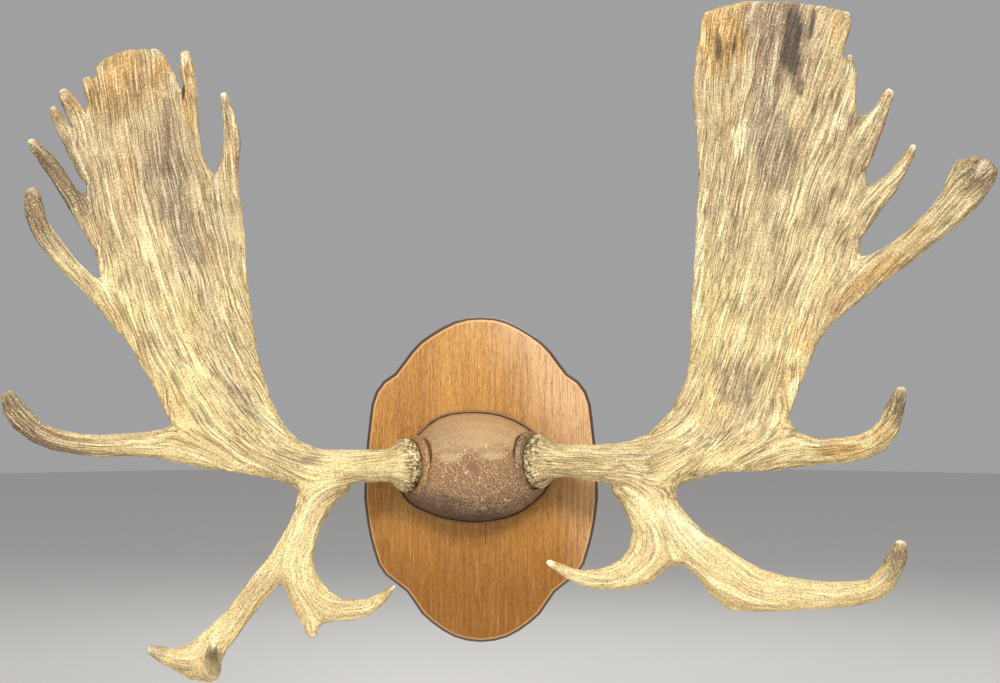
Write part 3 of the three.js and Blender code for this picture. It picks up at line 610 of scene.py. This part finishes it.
def makeAntler(side, antler, look, material):
    draw = np.random.default_rng(antler["seed"])
    nodes = [side + "_" + part for part in look["parts"]]
    mesh = fused(nodes, look["overlap"], antler["voxel"])
    skin = readSkin(mesh)
    x, z = drawn(skin["place"])
    closed = np.ones(len(x))
    for openX, openZ, radius in antler["open"]:
        closed = np.minimum(closed, softStep(np.hypot(x - openX, z - openZ), radius * 0.6, radius))
    skin["place"] = fillCreases(skin, look["webRounds"], closed)
    skin["place"] = levelFlats(skin, skin["place"], look["levelRounds"])
    skin["place"] = fair(skin["near"], skin["place"], look["fairRounds"]).astype(np.float32)
    writePlaces(mesh, skin["place"])
    normal = normalsOf(mesh)
    way = growthWay(skin, normal, antler["lines"].values(), look)

    def softNoise(rounds):
        return even(smoothed(skin["near"], draw.standard_normal(len(normal)).astype(np.float32), rounds))

    wave = softNoise(look["waveRounds"])
    sway = (look["wander"] * np.clip(wave, -2, 2))[:, None]
    way = unit(way + np.cross(normal, way) * sway).astype(np.float32)

    seeds = draw.standard_normal((len(normal), 3)).astype(np.float32)
    seeds[:, 0] = smoothed(skin["near"], seeds[:, 0], 5)
    seeds[:, 1] = smoothed(skin["near"], seeds[:, 1], 1)
    streak = even(streaks(skin, normal, way, even(seeds), look["walkSteps"], look["walkStride"]))
    cloud = softNoise(look["cloudRounds"])
    sideways = unit(np.cross(way, (0.0, 1.0, 0.0)))
    across = acrossGrowth(skin, sideways, look)
    through = acrossGrowth(skin, np.cross(way, sideways), look)

    # how far each point stands out; the bone's pale rims come from it, partly wear and partly a painted
    # highlight
    edge = softStep(convexity(skin, skin["place"]), *look["rim"])

    x, z = drawn(skin["place"])
    wobble = sum(share * part for share, part in zip(look["wobble"], (streak[:, 0], streak[:, 1], cloud)))
    dark, white = np.zeros(len(x)), np.zeros(len(x))
    for tipX, tipZ, depth, reach, strength, end in antler["tips"]:
        apart = np.linalg.norm(skin["place"] - inSpace(tipX, tipZ, depth), axis=1) * 1000
        full, gone = (reach * share for share in look["tipDark"])
        dark = np.maximum(dark, strength * fadeOut(apart * (1 + 0.25 * wobble), full, gone))
        white = np.maximum(white, 0.8 * end * fadeOut(apart * (1 + 0.5 * wobble), *look["tipEnd"]))

    foot, footWay = np.array(antler["foot"]) / 1000, np.array(antler["footWay"])
    burr, pearl = growPearls(skin, foot, footWay, draw, look)

    # relief along the growth, calmer at the tips and none under the crown of knobs
    groove = np.exp(-(streak[:, 0] / look["grooveWidth"]) ** 2)
    calm = (1 - 0.8 * dark) * (1 - burr) * (1 - 0.6 * white)
    height = calm * (look["ridgeHeight"] * np.tanh(streak[:, 0]) - look["grooveDepth"] * groove
                     + look["midHeight"] * streak[:, 1] + look["fineHeight"] * streak[:, 2])
    height += look["pearlHeight"] * (pearl - 0.4 * burr)
    writePlaces(mesh, skin["place"] + normal * height[:, None])

    stain = {kind: blobs(x, z, wobble, antler[kind]) for kind in ("grey", "orange", "dark", "pale")}
    # the wear field carries the rim mask, whose pale rims are partly a painted highlight
    for name, parts in (("growth", (across, through, np.zeros(len(x)))),
                        ("stains", (stain["grey"], stain["orange"], stain["dark"])),
                        ("wear", (edge, dark, white)), ("crown", (burr, pearl, stain["pale"]))):
        addField(mesh, name, np.stack(parts, 1))
    showPiece(mesh, side + "_antler", material, *nodes, slot="antler_bone")
    print(side, "antler:", len(mesh.vertices), "points")


boneColours = {
    "cream": srgb(232, 211, 147), "straw": srgb(214, 187, 130), "tan": srgb(182, 162, 124),
    "valley": srgb(144, 110, 68), "groove": srgb(58, 38, 20), "grey": srgb(124, 103, 88),
    "orange": srgb(192, 145, 68), "dark": srgb(46, 32, 24), "pale": srgb(255, 244, 198),
    # the edge colour on the next line: pale rims, partly worn bone and partly a painted highlight
    "tip": srgb(88, 64, 42), "tipEnd": srgb(206, 190, 160), "edge": srgb(255, 244, 200),
    "crevice": srgb(50, 32, 20),
}
boneGrain = {
    "ridge": (95.0, 5.0), "strand": (260.0, 9.0), "hair": (600.0, 26.0),  # how fine across, how slow along
    "pits": (520.0, 2.0, 0.7), "blotch": (210.0, 3.0, 0.7),  # scale, detail, roughness
    "cloud": (14.0, 4.0, 0.6), "zone": (30.0, 3.0, 0.6), "knobs": 210.0,
    "bend": (11.0, 0.006), "waver": (70.0, 0.0008),  # scale, and how far the grain strays sideways, m
    "ridgeLine": 1500.0, "strandLine": 450.0,  # higher makes thinner lines
    "relief": 0.0010,
}
boneStains = {  # where a stain's torn edge starts and is full, and how strong the stain is
    "orange": (0.05, 0.75, 0.85), "grey": (0.05, 0.85, 0.8), "pale": (0.2, 0.9, 0.8),
    "tip": (0.15, 0.9, 0.85), "dark": (0.1, 0.8, 0.85),
}


def makeBone(colour, grain, stains):
    material, tree, shader, place = newMaterial("antlerBone", 0.6)

    def field(name):
        return axes(tree, addNode(tree, "ShaderNodeAttribute", attribute_name=name).outputs["Vector"])

    def times(first, second):
        return calc(tree, "MULTIPLY", first, second)

    def line(value, sharpness):
        # a thin line where a fibre passes its middle value
        off = calc(tree, "SUBTRACT", value, 0.5)
        return calc(tree, "EXPONENT", times(times(off, off), -sharpness))

    def stray(name):
        scale, far = grain[name]
        return noise(tree, place, scale), far

    across, through, _ = field("growth")
    grey, orange, dark = field("stains")
    edge, tip, tipEnd = field("wear")
    burr, pearl, pale = field("crown")
    across = calc(tree, "ADD", across, calc(tree, "MULTIPLY_ADD", *stray("bend"), times(*stray("waver"))))
    ridge, strand, hair = (fibres(tree, across, through, place, *grain[name])
                           for name in ("ridge", "strand", "hair"))
    pits, blotch, cloud, zone = (noise(tree, place, *grain[name])
                                 for name in ("pits", "blotch", "cloud", "zone"))
    knobs = addNode(tree, "ShaderNodeTexVoronoi",
                    {"Vector": place, "Scale": grain["knobs"]}).outputs["Distance"]

    # the lines are calmer low down and in patches
    level = calc(tree, "MULTIPLY_ADD", calc(tree, "SUBTRACT", cloud, 0.5), 0.5, axes(tree, place)["Z"])
    calm = spread(tree, level, -0.12, 0.06, 0.5, 1.0)
    lined = spread(tree, zone, 0.36, 0.56, 0.45, 1.0)
    ridgeLine = times(times(line(ridge, grain["ridgeLine"]), calm), spread(tree, cloud, 0.40, 0.58, 0.35, 1.0))
    strandLine = times(times(line(strand, grain["strandLine"]), calm), lined)
    worn = times(calc(tree, "MULTIPLY_ADD", edge, -0.6, 1.0), calm)
    fray = calc(tree, "MULTIPLY_ADD", strand, 0.8, calc(tree, "MULTIPLY_ADD", blotch, 0.6, -0.70))

    def stained(shade, mask, name):
        # lays a stain on, its edge torn along the fibres
        start, full, most = stains[name]
        torn = calc(tree, "MULTIPLY_ADD", fray, spread(tree, mask, 0.0, 0.2), mask)
        return tint(tree, spread(tree, torn, start, full, 0.0, most), shade, colour[name])

    shade = tint(tree, spread(tree, cloud, 0.35, 0.65), colour["cream"], colour["straw"])
    shade = tint(tree, spread(tree, level, 0.16, 0.42, 0.0, 0.75), shade, colour["tan"])
    for mask, name in ((orange, "orange"), (grey, "grey"), (pale, "pale"), (tip, "tip")):
        shade = stained(shade, mask, name)
    # grain, where its colour starts and is full, how strong, the colour, and a mask that thins it
    for part, start, full, most, name, thin in (
            (ridge, 0.46, 0.30, 0.10, "valley", None), (ridge, 0.57, 0.66, 0.15, "pale", None),
            (strand, 0.46, 0.36, 0.25, "valley", lined), (strand, 0.56, 0.64, 0.32, "pale", None),
            (blotch, 0.5, 0.3, 0.12, "valley", None), (pits, 0.46, 0.38, 0.75, "valley", None),
            (pits, 0.54, 0.64, 0.5, "pale", None), (hair, 0.45, 0.37, 0.5, "groove", worn)):
        factor = spread(tree, part, start, full, 0.0, most)
        shade = tint(tree, factor if thin is None else times(thin, factor), shade, colour[name])
    shade = tint(tree, times(ridgeLine, 0.2), shade, colour["groove"])
    shade = tint(tree, times(strandLine, 0.55), shade, colour["groove"])
    # pale rims: partly worn bone, partly a painted highlight along the edges
    shade = tint(tree, spread(tree, edge, 0.5, 0.95, 0.0, 0.75), shade, colour["edge"])
    besideRim = times(spread(tree, edge, 0.15, 0.38), spread(tree, edge, 0.68, 0.42))
    shade = tint(tree, times(besideRim, 0.3), shade, colour["orange"])
    shade = stained(shade, dark, "dark")
    crevice = calc(tree, "MAXIMUM", spread(tree, pearl, 0.35, 0.1, 0.0, 0.6),
                   spread(tree, knobs, 0.55, 0.75, 0.0, 0.75))
    shade = tint(tree, times(burr, crevice), shade, colour["crevice"])
    shade = tint(tree, times(burr, spread(tree, knobs, 0.45, 0.15, 0.0, 0.65)), shade, colour["pale"])
    shade = tint(tree, times(tipEnd, spread(tree, pits, 0.4, 0.55, 0.3, 0.8)), shade, colour["tipEnd"])
    feed(tree, shade, shader, "Base Color")

    height = times(strand, 1.6)
    for part, share in ((hair, 0.6), (ridge, 0.8), (ridgeLine, -0.5), (strandLine, -0.35), (pits, 0.7),
                        (blotch, 0.4), (times(knobs, burr), -3.0)):
        height = calc(tree, "MULTIPLY_ADD", part, share, height)
    bump(tree, shader, height, grain["relief"], 1.0)
    return material


bone = makeBone(boneColours, boneGrain, boneStains)
for side, antler in antlers.items():
    makeAntler(side, antler, antlerLook, bone)

# leather dome over the skull plate
capLook = {"voxel": 0.0018, "fairRounds": 30,
           "worn": srgb(182, 146, 100), "brown": srgb(126, 88, 58), "low": srgb(78, 53, 40),
           "crackle": srgb(228, 192, 142), "scuff": srgb(226, 198, 148), "spot": srgb(116, 78, 50),
           "shadow": srgb(50, 34, 30), "grey": srgb(146, 120, 94),
           "wander": (55.0, 4.0, 0.65), "mottle": (620.0, 3.0, 0.75),  # scale, detail, roughness
           # the cracks' cells, their width and how they bend; the relief's depth and strength
           "cells": (230.0, 420.0), "crack": (0.065, 0.015), "bend": (160.0, 0.005), "relief": (0.0006, 0.9),
           # places on the dome's front, mm: x, z, half width, half height; then colour and strength
           "crackled": (-4, 2, 108, 60), "greyed": (-52, 62, 44, 24),
           "marks": [(-43, 35, 16, 7, "scuff", 0.35), (17, 37, 18, 6, "scuff", 0.35),
                     (-10, 22, 8, 8, "spot", 0.5), (-80, -34, 60, 26, "shadow", 0.45),
                     (-10, -58, 90, 18, "shadow", 0.6)]}


def nearSpot(tree, place, wander, x, z, wide, high):
    # 0 at a place on the dome's front, 1 at an oval round it
    off = vector(tree, "SUBTRACT", place, (x / 1000, 0.0, z / 1000))
    off = vector(tree, "MULTIPLY", off, (1000 / wide, 0.0, 1000 / high))
    away = addNode(tree, "ShaderNodeVectorMath", {0: off}, operation="LENGTH").outputs["Value"]
    return calc(tree, "MULTIPLY_ADD", calc(tree, "SUBTRACT", wander, 0.5), 0.9, away)


def makeCapLeather(look):
    material, tree, shader, place = newMaterial("crackledLeather", 0.55)
    wander = noise(tree, place, *look["wander"])
    height = calc(tree, "ADD", axes(tree, place)["Z"], calc(tree, "MULTIPLY_ADD", wander, 0.04, -0.02))
    # the dome darkens towards the bottom and pales towards the top
    shade = tint(tree, spread(tree, height, -0.040, -0.004), look["low"], look["brown"])
    shade = tint(tree, spread(tree, height, 0.030, 0.062), shade, look["worn"])
    greyOff = nearSpot(tree, place, wander, *look["greyed"])
    shade = tint(tree, spread(tree, greyOff, 1.2, 0.3, 0.0, 0.55), shade, look["grey"])
    mottle = noise(tree, place, *look["mottle"])
    shade = tint(tree, spread(tree, mottle, 0.54, 0.70, 0.0, 0.4), shade, look["crackle"])
    shade = tint(tree, spread(tree, mottle, 0.5, 0.34, 0.0, 0.5), shade, look["low"])
    bendScale, bend = look["bend"]
    jitter = addNode(tree, "ShaderNodeTexNoise", {"Vector": place, "Scale": bendScale}).outputs["Color"]
    bent = vector(tree, "ADD", place, vector(tree, "SCALE", jitter, scale=bend))
    cracks = []
    for scale in look["cells"]:
        cell = addNode(tree, "ShaderNodeTexVoronoi", {"Vector": bent, "Scale": scale},
                       feature="DISTANCE_TO_EDGE").outputs["Distance"]
        cracks.append(spread(tree, cell, *look["crack"]))
    centre = spread(tree, nearSpot(tree, place, wander, *look["crackled"]), 1.25, 0.7, 0.3, 1.0)
    crackle = calc(tree, "MULTIPLY", cracks[0], centre)
    small = calc(tree, "MULTIPLY", cracks[1], spread(tree, wander, 0.38, 0.6, 0.3, 1.0))
    shade = tint(tree, calc(tree, "MULTIPLY", crackle, 0.9), shade, look["crackle"])
    shade = tint(tree, calc(tree, "MULTIPLY", small, 0.35), shade, look["crackle"])
    for *spot, colour, strength in look["marks"]:
        off = nearSpot(tree, place, wander, *spot)
        shade = tint(tree, spread(tree, off, 1.25, 0.5, 0.0, strength), shade, look[colour])
    feed(tree, shade, shader, "Base Color")
    feed(tree, spread(tree, mottle, 0.3, 0.7, 0.62, 0.45), shader, "Roughness")
    lift = calc(tree, "MULTIPLY_ADD", crackle, 0.8, calc(tree, "MULTIPLY", small, 0.4))
    lift = calc(tree, "MULTIPLY_ADD", mottle, 0.8, lift)
    bump(tree, shader, lift, *look["relief"])
    return material


def makeCap(look):
    mesh = fused(["skull_cap"], 0.0, look["voxel"])
    skin = readSkin(mesh)
    writePlaces(mesh, fair(skin["near"], skin["place"], look["fairRounds"]))
    showPiece(mesh, "leather_dome", makeCapLeather(look), "skull_cap", slot="cap_leather")
    print("dome:", len(mesh.vertices), "points")


makeCap(capLook)

# stitched edge round the dome's foot
stitchLook = {
    "count": 132, "thick": 0.75, "flat": 1.5, "length": 2.5, "lean": 24,  # mm, and degrees
    "outside": 2.1, "depth": 25.3, "middle": (-10, 17),
    "foot": [(-118, 18), (-112, 36), (-101, 50), (-84, 64), (-70, 78), (-53, 87), (-36, 91), (-8, 92.5),
             (20, 90), (39, 84), (56, 76), (70, 66), (84, 53), (94, 36), (97, 13), (94, -8), (84, -22),
             (70, -34), (53, -46), (34, -53), (14, -57), (-8, -59), (-31, -57), (-53, -53), (-73, -46),
             (-92, -37), (-106, -25), (-115, -5)],
    "thread": srgb(188, 146, 98), "cord": srgb(122, 86, 58),
}


def closedCurve(points, count, steps=24):
    # even places on a smooth closed curve through flat points, and the directions along it
    corners = np.array(points, float)
    fine = []
    for i in range(len(corners)):
        a, b, c, d = (corners[(i + k) % len(corners)] for k in (-1, 0, 1, 2))
        for t in np.linspace(0, 1, steps, endpoint=False):
            fine.append(0.5 * ((2 * b) + (c - a) * t + (2 * a - 5 * b + 4 * c - d) * t ** 2
                               + (3 * b - a - 3 * c + d) * t ** 3))
    fine = np.array(fine + fine[:1])
    length = np.concatenate([[0], np.cumsum(np.linalg.norm(np.diff(fine, axis=0), axis=1))])
    stops = np.arange(count) * length[-1] / count
    spots = np.stack([np.interp(stops, length, fine[:, axis]) for axis in range(2)], 1)
    along = unit(np.roll(spots, -1, 0) - np.roll(spots, 1, 0))
    return spots, along


def plainMaterial(name, colour, roughness, grain, metallic=0.0):
    material, tree, shader, place = newMaterial(name, roughness)
    shader.inputs["Metallic"].default_value = metallic
    mottle = noise(tree, place, 500.0, 3.0, 0.6)
    darker = tuple(v * 0.55 for v in colour)
    feed(tree, tint(tree, spread(tree, mottle, 0.35, 0.65), darker, colour), shader, "Base Color")
    bump(tree, shader, mottle, grain, 0.8)
    return material


def makeStitches(look):
    spots, along = closedCurve(look["foot"], look["count"])
    shape = bmesh.new()
    for spot, way in zip(spots, along):
        outward = np.array([-way[1], way[0]])
        if outward @ (spot - np.array(look["middle"])) < 0:
            outward = -outward
        made = bmesh.ops.create_icosphere(shape, subdivisions=1, radius=1.0)["verts"]
        turn = math.atan2(outward[1], outward[0]) + math.radians(look["lean"])
        place = spot + outward * look["outside"]
        size = np.array([look["length"], look["thick"] * look["flat"], look["thick"]]) / 1000
        matrix = (Matrix.Translation((place[0] / 1000, -look["depth"] / 1000, place[1] / 1000))
                  @ Matrix.Rotation(-turn, 4, "Y") @ Matrix.Diagonal((*size, 1)))
        bmesh.ops.transform(shape, matrix=matrix, verts=made)
    thread = plainMaterial("waxedThread", look["thread"], 0.6, 0.0003)
    showPiece(meshFrom(shape, "foot_stitches"), "foot_stitches", thread, slot="trim_cord")
    print("stitches:", look["count"])


makeStitches(stitchLook)

# rolled leather collars
weltLook = {
    "radius": 33.5, "roll": 5.6, "flare": 1.50, "along": 8.0, "sides": 14, "steps": 72,  # mm, and counts
    "left": srgb(150, 108, 64), "right": srgb(126, 96, 70), "edge": srgb(222, 188, 140),
    "crease": (260.0, 3.0, 0.6, 0.6), "wear": (480.0, 3.0, 0.7), "relief": (0.0009, 0.8),
}


def makeWeltLeather(name, colour, look):
    material, tree, shader, place = newMaterial(name, 0.48)
    crease, wear = noise(tree, place, *look["crease"]), noise(tree, place, *look["wear"])
    darker = tuple(v * 0.45 for v in colour)
    shade = tint(tree, spread(tree, crease, 0.36, 0.62), darker, colour)
    shade = tint(tree, spread(tree, wear, 0.50, 0.64, 0.0, 0.75), shade, look["edge"])
    feed(tree, shade, shader, "Base Color")
    bump(tree, shader, crease, *look["relief"])
    return material


def makeWelt(side, antler, look):
    foot, way = Vector(antler["foot"]), Vector(antler["footWay"]).normalized()
    centre = foot + way * look["along"]
    across = way.orthogonal().normalized()
    shape = bmesh.new()
    ring = bmesh.ops.create_circle(shape, segments=look["sides"], radius=look["roll"] / 1000)["verts"]
    turn = Matrix((across, way, across.cross(way))).transposed().to_4x4()
    where = Matrix.Translation((centre + across * look["radius"]) / 1000)
    flare = Matrix.Diagonal((look["flare"], 1.0, 1.0, 1.0))
    bmesh.ops.transform(shape, matrix=where @ turn @ flare, verts=ring)
    bmesh.ops.spin(shape, geom=shape.verts[:] + shape.edges[:], cent=centre / 1000, axis=way,
                   angle=math.tau, steps=look["steps"], use_merge=True)
    bmesh.ops.remove_doubles(shape, verts=shape.verts, dist=weldGap)
    bmesh.ops.recalc_face_normals(shape, faces=shape.faces)
    leather = makeWeltLeather(side + "CollarLeather", look[side], look)
    showPiece(meshFrom(shape, "collar"), side + "_collar", leather, "welt_" + side, slot="welt_leather")


for side, antler in antlers.items():
    makeWelt(side, antler, weltLook)
print("collars done")

# oak board
boardLook = {"light": srgb(184, 133, 58), "mid": srgb(166, 112, 42), "deep": srgb(126, 76, 22),
             # the pale colour after crack: a painted sheen on the upper right, and the grain's pale threads
             "pore": srgb(84, 48, 14), "crack": srgb(48, 26, 12), "sheenAndPaleGrain": srgb(222, 184, 142),
             "low": srgb(132, 81, 0), "rim": srgb(84, 62, 50), "glint": srgb(232, 190, 132),
             # upright stretch, scale, detail, roughness, distortion
             "bands": (0.16, 26.0, 4.0, 0.6, 0.8), "threads": (0.03, 560.0, 4.0, 0.7, 0.2),
             "flecks": (0.12, 1150.0, 2.0, 0.6, 0.4), "rings": (0.035, 230.0, 3.0, 0.6, 0.6),
             # m: the crack's middle, half width and ends, then the depths of the front edge and the rim
             "crackX": 0.0080, "crackWide": (0.0011, 0.0002), "crackFoot": (-0.098, -0.086),
             "crackHead": (-0.052, -0.060), "frontEdge": (-0.02196, -0.0217), "rimFront": (-0.0214, -0.0203),
             "rimBack": (-0.006, -0.011),
             "specular": 0.35, "coat": 0.04, "coatRoughness": 0.3, "creaseAngle": 40}


def makeOak(look):
    material, tree, shader, place = newMaterial("honeyOak", 0.4)
    shader.inputs["Specular IOR Level"].default_value = look["specular"]
    shader.inputs["Coat Weight"].default_value = look["coat"]
    shader.inputs["Coat Roughness"].default_value = look["coatRoughness"]
    x, y, z = axes(tree, place)

    def times(first, second):
        return calc(tree, "MULTIPLY", first, second)

    def grain(name):
        upright, *values = look[name]
        return noise(tree, stretched(tree, place, upright), *values)

    bands, threads, flecks, rings = (grain(name) for name in ("bands", "threads", "flecks", "rings"))
    height = calc(tree, "MULTIPLY_ADD", bands, 0.10, z)
    shade = tint(tree, spread(tree, bands, 0.34, 0.66), look["light"], look["mid"])
    # darker and browner towards the bottom: partly the wood's tone, partly painted shade
    shade = tint(tree, spread(tree, height, 0.04, -0.12, 0.0, 0.85), shade, look["low"])
    # a slant rising towards the upper right, along which the painted sheen grows
    slope = calc(tree, "MULTIPLY_ADD", x, 0.9, times(z, 0.35))
    lower = spread(tree, height, 0.06, -0.10, 0.45, 1.0)
    gleam = spread(tree, height, -0.08, 0.08, 0.10, 0.30)
    bow = calc(tree, "MULTIPLY_ADD", noise(tree, place, 60.0), 0.004, x)
    beside = calc(tree, "ABSOLUTE", calc(tree, "SUBTRACT", bow, look["crackX"]))
    crack = times(spread(tree, beside, *look["crackWide"]),
                  times(spread(tree, z, *look["crackFoot"]), spread(tree, z, *look["crackHead"])))
    for factor, name in (
            # painted sheen: the board paler towards the upper right
            (spread(tree, slope, 0.05, 0.16, 0.0, 0.75), "sheenAndPaleGrain"),
            (spread(tree, bands, 0.56, 0.74, 0.0, 0.35), "deep"),
            (times(lower, spread(tree, rings, 0.50, 0.64, 0.0, 0.6)), "deep"),
            (spread(tree, threads, 0.48, 0.66, 0.0, 0.6), "deep"),
            # the grain's pale threads
            (spread(tree, threads, 0.46, 0.30, 0.0, 0.25), "sheenAndPaleGrain"),
            (spread(tree, flecks, 0.54, 0.70, 0.0, 0.6), "pore"),
            (times(spread(tree, flecks, 0.46, 0.32), gleam), "glint"),
            (spread(tree, y, *look["frontEdge"], 0.0, 0.35), "glint"),
            (times(spread(tree, y, *look["rimFront"]), spread(tree, y, *look["rimBack"])), "rim"),
            (times(crack, 0.85), "crack")):
        shade = tint(tree, factor, shade, look[name])
    feed(tree, shade, shader, "Base Color")
    feed(tree, spread(tree, threads, 0.3, 0.7, 0.36, 0.5), shader, "Roughness")
    bump(tree, shader, calc(tree, "MULTIPLY_ADD", flecks, -0.6, times(threads, -0.5)), 0.0002, 0.5)
    return material


def makeBoard(look):
    shape = bmesh.new()
    shape.from_mesh(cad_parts["board"].data)
    bmesh.ops.remove_doubles(shape, verts=shape.verts, dist=weldGap)
    mesh = meshFrom(shape, "oak_board")
    mesh.shade_smooth()
    mesh.set_sharp_from_angle(angle=math.radians(look["creaseAngle"]))
    showPiece(mesh, "oak_board", makeOak(look), "board", slot="oak", smooth=False)


makeBoard(boardLook)
print("board done")

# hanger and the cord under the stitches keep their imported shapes
steel = plainMaterial("brushedSteel", srgb(176, 176, 172), 0.35, 0.0001, 1.0)
cord = plainMaterial("darkCord", stitchLook["cord"], 0.6, 0.0003)
for name, finish in (("hanger_plate", steel), ("hanger_screw_left", steel), ("hanger_screw_right", steel),
                     ("edge_trim", cord)):
    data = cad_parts[name].data
    data.materials.clear()
    data.materials.append(finish)
print("hanger and cord done")

# floor, light and camera
stageLook = {"floorLevel": -0.62, "radius": 9.0, "colour": srgb(226, 224, 220), "sky": srgb(236, 236, 238),
             "skyStrength": 0.42}
lamps = {  # place and target, m; width and height, m; power, W; colour
    "key_light": ((0.15, -2.6, 2.0), (0.0, 0.0, 0.1), (1.3, 0.8), 112, (1.0, 0.97, 0.93)),
    "fill_light": ((-2.0, -2.6, 0.6), (0.0, 0.0, 0.1), (1.8, 1.8), 22, (1.0, 1.0, 1.0)),
    "back_light": ((0.4, 2.4, 1.8), (0.0, 0.0, 0.15), (2.0, 1.4), 30, (1.0, 1.0, 1.0)),
}
cameraLook = {"lens": 64.285, "sensor": 36.0}  # mm


def makeStage(look):
    shape = bmesh.new()
    bmesh.ops.create_circle(shape, cap_ends=True, segments=96, radius=look["radius"],
                            matrix=Matrix.Translation((0, 0, look["floorLevel"])))
    floor = bpy.data.objects.new("floor", meshFrom(shape, "floor"))
    bpy.context.scene.collection.objects.link(floor)
    material, _, shader, _ = newMaterial("paleFloor", 0.9)
    shader.inputs["Base Color"].default_value = (*look["colour"], 1.0)
    floor.data.materials.append(material)


def softBox(name, place, target, size, power, colour):
    light = bpy.data.lights.new(name, "AREA")
    light.shape = "RECTANGLE"
    light.size, light.size_y = size
    light.energy = power
    light.color = colour
    lamp = bpy.data.objects.new(name, light)
    lamp.location = place
    lamp.rotation_euler = (Vector(target) - Vector(place)).to_track_quat("-Z", "Y").to_euler()
    bpy.context.scene.collection.objects.link(lamp)


makeStage(stageLook)
world = bpy.data.worlds.new("studio")
world.use_nodes = True
sky = world.node_tree.nodes["Background"]
sky.inputs["Color"].default_value = (*stageLook["sky"], 1.0)
sky.inputs["Strength"].default_value = stageLook["skyStrength"]
bpy.context.scene.world = world
for name, lamp in lamps.items():
    softBox(name, *lamp)

camera = bpy.data.cameras.new("camera")
camera.lens = cameraLook["lens"]
camera.sensor_width = cameraLook["sensor"]
viewer = bpy.data.objects.new("camera", camera)
viewer.location = (eye["x"] / 1000, eye["y"] / 1000, eye["z"] / 1000)
viewer.rotation_euler = (math.pi / 2, 0, 0)
bpy.context.scene.collection.objects.link(viewer)
bpy.context.scene.camera = viewer
bpy.context.scene.view_settings.view_transform = "Standard"

print("scene ready")
